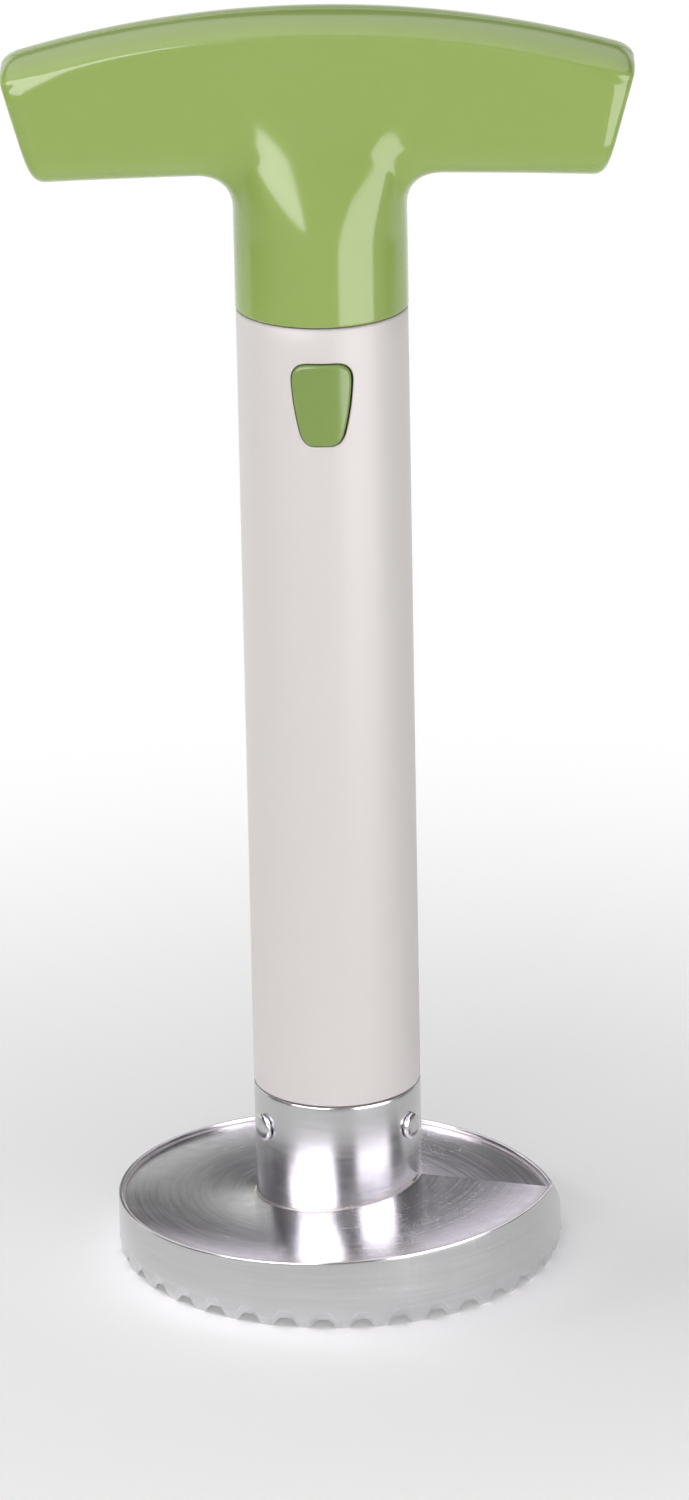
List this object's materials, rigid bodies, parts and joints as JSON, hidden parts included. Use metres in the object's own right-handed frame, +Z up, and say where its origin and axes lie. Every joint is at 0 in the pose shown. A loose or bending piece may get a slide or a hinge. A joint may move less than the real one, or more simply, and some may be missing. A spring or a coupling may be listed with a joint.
{
  "type": "pineapple slicer",
  "caption": "Hand pineapple slicer: T-shaped grip locked by a push button onto a hollow shaft, with a spiral blade, a toothed rim and a core cutter at its foot.",
  "frame": {"origin": "middle of the toothed rim's standing plane, on the shaft's axis", "axes": "+Z up the shaft to the grip, X along the grip, -Y towards the release button"},
  "size_m": [0.1164, 0.0854, 0.2453],
  "materials": {
    "green_plastic": "gloss",
    "white_plastic": "satin",
    "grey_plastic": "matte",
    "stainless_steel": "brushed"
  },
  "bodies": {
    "shaft": {"core_tube": "white_plastic", "cutter_sleeve": "stainless_steel", "spiral_blade": "stainless_steel", "rim_blade": "stainless_steel", "sleeve_rivet_1": "stainless_steel", "sleeve_rivet_2": "stainless_steel", "sleeve_rivet_3": "stainless_steel"},
    "handle": {"grip_front_shell": "green_plastic", "grip_rear_shell": "green_plastic", "handle_stem": "grey_plastic", "stem_end_cap": "grey_plastic", "spring_seat": "grey_plastic", "seat_pin": "stainless_steel", "button_spring": "stainless_steel", "grip_screw_1": "stainless_steel", "grip_screw_2": "stainless_steel", "grip_screw_3": "stainless_steel", "grip_screw_4": "stainless_steel", "screw_cap_1": "green_plastic", "screw_cap_2": "green_plastic", "screw_cap_3": "green_plastic", "screw_cap_4": "green_plastic"},
    "button": {"release_button": "green_plastic"}
  },
  "joints": [
    {"name": "handle_release", "type": "slide", "parent": "shaft", "child": "handle", "axis": [0, 0, 1], "range_m": [0, 0.15]},
    {"name": "button_press", "type": "slide", "parent": "handle", "child": "button", "axis": [0, 1, 0], "range_m": [0, 0.0033], "stiffness_N_per_m": 700, "springref_m": -0.002, "deforming": ["button_spring"]}
  ]
}
